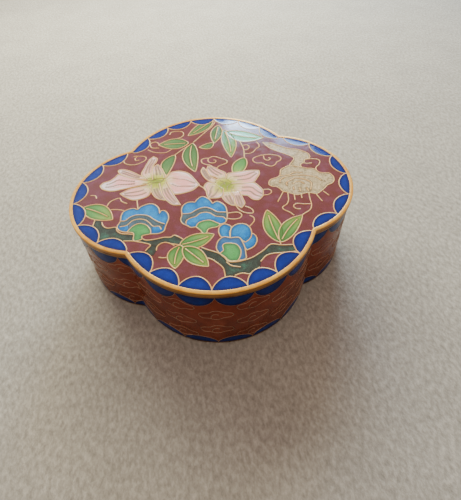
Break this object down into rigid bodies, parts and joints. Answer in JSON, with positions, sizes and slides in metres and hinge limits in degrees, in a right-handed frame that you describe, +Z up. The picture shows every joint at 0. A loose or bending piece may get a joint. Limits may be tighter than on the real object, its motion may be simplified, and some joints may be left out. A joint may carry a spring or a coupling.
{
  "type": "cloisonne enamel box",
  "caption": "Quatrefoil cloisonne enamel box with brass rims and a flat lid that lifts off; hollow, for keeping small things.",
  "frame": {"origin": "on the ground under the middle of the box", "axes": "+Z up, X along the box's length from side lobe to side lobe, -Y towards the front"},
  "size_m": [0.09, 0.079, 0.0295],
  "materials": {
    "enamel": "polished enamel fused on copper, softly glossy",
    "brass": "gilt brass, satin"
  },
  "bodies": {
    "root": {"body": "enamel", "foot_rim": "brass", "mouth_rim": "brass", "lid_panel": "enamel", "lid_rim": "brass", "lid_collar": "brass"}
  },
  "joints": []
}
